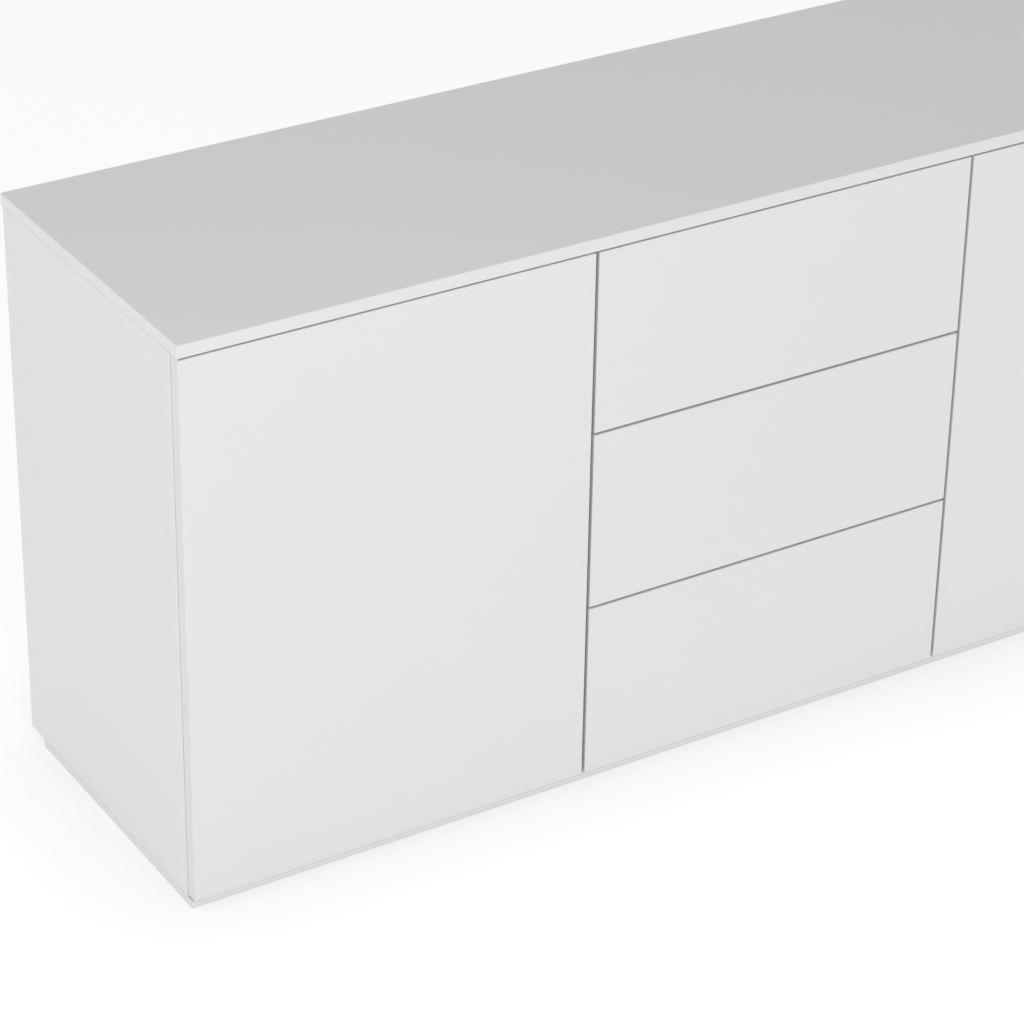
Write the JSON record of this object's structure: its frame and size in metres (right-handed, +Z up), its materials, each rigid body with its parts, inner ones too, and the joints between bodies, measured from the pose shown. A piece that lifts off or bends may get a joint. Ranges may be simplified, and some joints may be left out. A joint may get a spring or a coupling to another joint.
{
  "type": "sideboard buffet",
  "caption": "Low white handleless sideboard with hinged doors either side of a stack of push-open drawers, a flat top and a low recessed base.",
  "frame": {"origin": "on the floor under the middle of the cabinet", "axes": "+X to the right seen from the front, -Y out of the fronts, +Z up"},
  "size_m": [1.8, 0.5, 0.83],
  "materials": {
    "white_lacquer": "smooth satin white lacquer on board",
    "base_lacquer": "matt white lacquer on board",
    "white_melamine": "matt white melamine on board",
    "white_hardboard": "matt white painted thin fibreboard",
    "nickel_plated": "nickel plated pressed steel",
    "zinc_steel": "bright zinc plated rolled steel",
    "grey_plastic": "fine grained grey moulded plastic"
  },
  "bodies": {
    "carcass": {"top_panel": "white_lacquer", "left_side_panel": "white_lacquer", "right_side_panel": "white_lacquer", "left_partition": "white_melamine", "right_partition": "white_melamine", "bottom_panel": "white_melamine", "left_back_panel": "white_hardboard", "middle_back_panel": "white_hardboard", "right_back_panel": "white_hardboard", "base_front_strip": "base_lacquer", "base_rear_strip": "base_lacquer", "base_left_strip": "base_lacquer", "base_right_strip": "base_lacquer", "left_shelf": "white_melamine", "right_shelf": "white_melamine", "left_lower_hinge_arm": "nickel_plated", "left_upper_hinge_arm": "nickel_plated", "right_lower_hinge_arm": "nickel_plated", "right_upper_hinge_arm": "nickel_plated", "left_latch_case": "grey_plastic", "right_latch_case": "grey_plastic", "lower_left_cabinet_rail": "zinc_steel", "lower_right_cabinet_rail": "zinc_steel", "middle_left_cabinet_rail": "zinc_steel", "middle_right_cabinet_rail": "zinc_steel", "upper_left_cabinet_rail": "zinc_steel", "upper_right_cabinet_rail": "zinc_steel"},
    "left_links": {"left_lower_hinge_link": "nickel_plated", "left_upper_hinge_link": "nickel_plated"},
    "left_door": {"left_door_panel": "white_lacquer", "left_lower_hinge_cup": "nickel_plated", "left_upper_hinge_cup": "nickel_plated"},
    "left_plunger": {"left_latch_plunger": "grey_plastic"},
    "right_links": {"right_lower_hinge_link": "nickel_plated", "right_upper_hinge_link": "nickel_plated"},
    "right_door": {"right_door_panel": "white_lacquer", "right_lower_hinge_cup": "nickel_plated", "right_upper_hinge_cup": "nickel_plated"},
    "right_plunger": {"right_latch_plunger": "grey_plastic"},
    "lower_drawer": {"lower_drawer_front": "white_lacquer", "lower_drawer_left": "white_melamine", "lower_drawer_right": "white_melamine", "lower_drawer_back": "white_melamine", "lower_drawer_floor": "white_melamine"},
    "lower_carriage": {"lower_left_middle_rail": "zinc_steel", "lower_right_middle_rail": "zinc_steel"},
    "middle_drawer": {"middle_drawer_front": "white_lacquer", "middle_drawer_left": "white_melamine", "middle_drawer_right": "white_melamine", "middle_drawer_back": "white_melamine", "middle_drawer_floor": "white_melamine"},
    "middle_carriage": {"middle_left_middle_rail": "zinc_steel", "middle_right_middle_rail": "zinc_steel"},
    "upper_drawer": {"upper_drawer_front": "white_lacquer", "upper_drawer_left": "white_melamine", "upper_drawer_right": "white_melamine", "upper_drawer_back": "white_melamine", "upper_drawer_floor": "white_melamine"},
    "upper_carriage": {"upper_left_middle_rail": "zinc_steel", "upper_right_middle_rail": "zinc_steel"}
  },
  "joints": [
    {"name": "left_link_hinge", "type": "hinge", "parent": "carcass", "child": "left_links", "pos_m": [-0.872, -0.225, 0.11], "axis": [0, 0, 1], "range_deg": [-1, 41]},
    {"name": "left_door_hinge", "type": "hinge", "parent": "left_links", "child": "left_door", "pos_m": [-0.891, -0.234, 0.11], "axis": [0, 0, -1], "range_deg": [-0.2, 140]},
    {"name": "left_plunger_push", "type": "slide", "parent": "carcass", "child": "left_plunger", "axis": [0, -1, 0], "range_m": [-0.001, 0.0145]},
    {"name": "right_link_hinge", "type": "hinge", "parent": "carcass", "child": "right_links", "pos_m": [0.872, -0.225, 0.11], "axis": [0, 0, -1], "range_deg": [-1, 41]},
    {"name": "right_door_hinge", "type": "hinge", "parent": "right_links", "child": "right_door", "pos_m": [0.891, -0.234, 0.11], "axis": [0, 0, 1], "range_deg": [-0.2, 140]},
    {"name": "right_plunger_push", "type": "slide", "parent": "carcass", "child": "right_plunger", "axis": [0, -1, 0], "range_m": [-0.001, 0.0145]},
    {"name": "lower_drawer_slide", "type": "slide", "parent": "carcass", "child": "lower_drawer", "axis": [0, -1, 0], "range_m": [-0.0015, 0.38]},
    {"name": "lower_carriage_slide", "type": "slide", "parent": "carcass", "child": "lower_carriage", "axis": [0, -1, 0], "range_m": [-0.001, 0.1905]},
    {"name": "middle_drawer_slide", "type": "slide", "parent": "carcass", "child": "middle_drawer", "axis": [0, -1, 0], "range_m": [-0.0015, 0.38]},
    {"name": "middle_carriage_slide", "type": "slide", "parent": "carcass", "child": "middle_carriage", "axis": [0, -1, 0], "range_m": [-0.001, 0.1905]},
    {"name": "upper_drawer_slide", "type": "slide", "parent": "carcass", "child": "upper_drawer", "axis": [0, -1, 0], "range_m": [-0.0015, 0.38]},
    {"name": "upper_carriage_slide", "type": "slide", "parent": "carcass", "child": "upper_carriage", "axis": [0, -1, 0], "range_m": [-0.001, 0.1905]}
  ],
  "couplings": [
    {"joint": "left_link_hinge", "follows": "left_door_hinge", "ratio": 0.28571},
    {"joint": "left_plunger_push", "follows": "left_door_hinge", "m_per_rad": 0.0057296},
    {"joint": "right_link_hinge", "follows": "right_door_hinge", "ratio": 0.28571},
    {"joint": "right_plunger_push", "follows": "right_door_hinge", "m_per_rad": 0.0057296},
    {"joint": "lower_carriage_slide", "follows": "lower_drawer_slide", "ratio": 0.5},
    {"joint": "middle_carriage_slide", "follows": "middle_drawer_slide", "ratio": 0.5},
    {"joint": "upper_carriage_slide", "follows": "upper_drawer_slide", "ratio": 0.5}
  ]
}
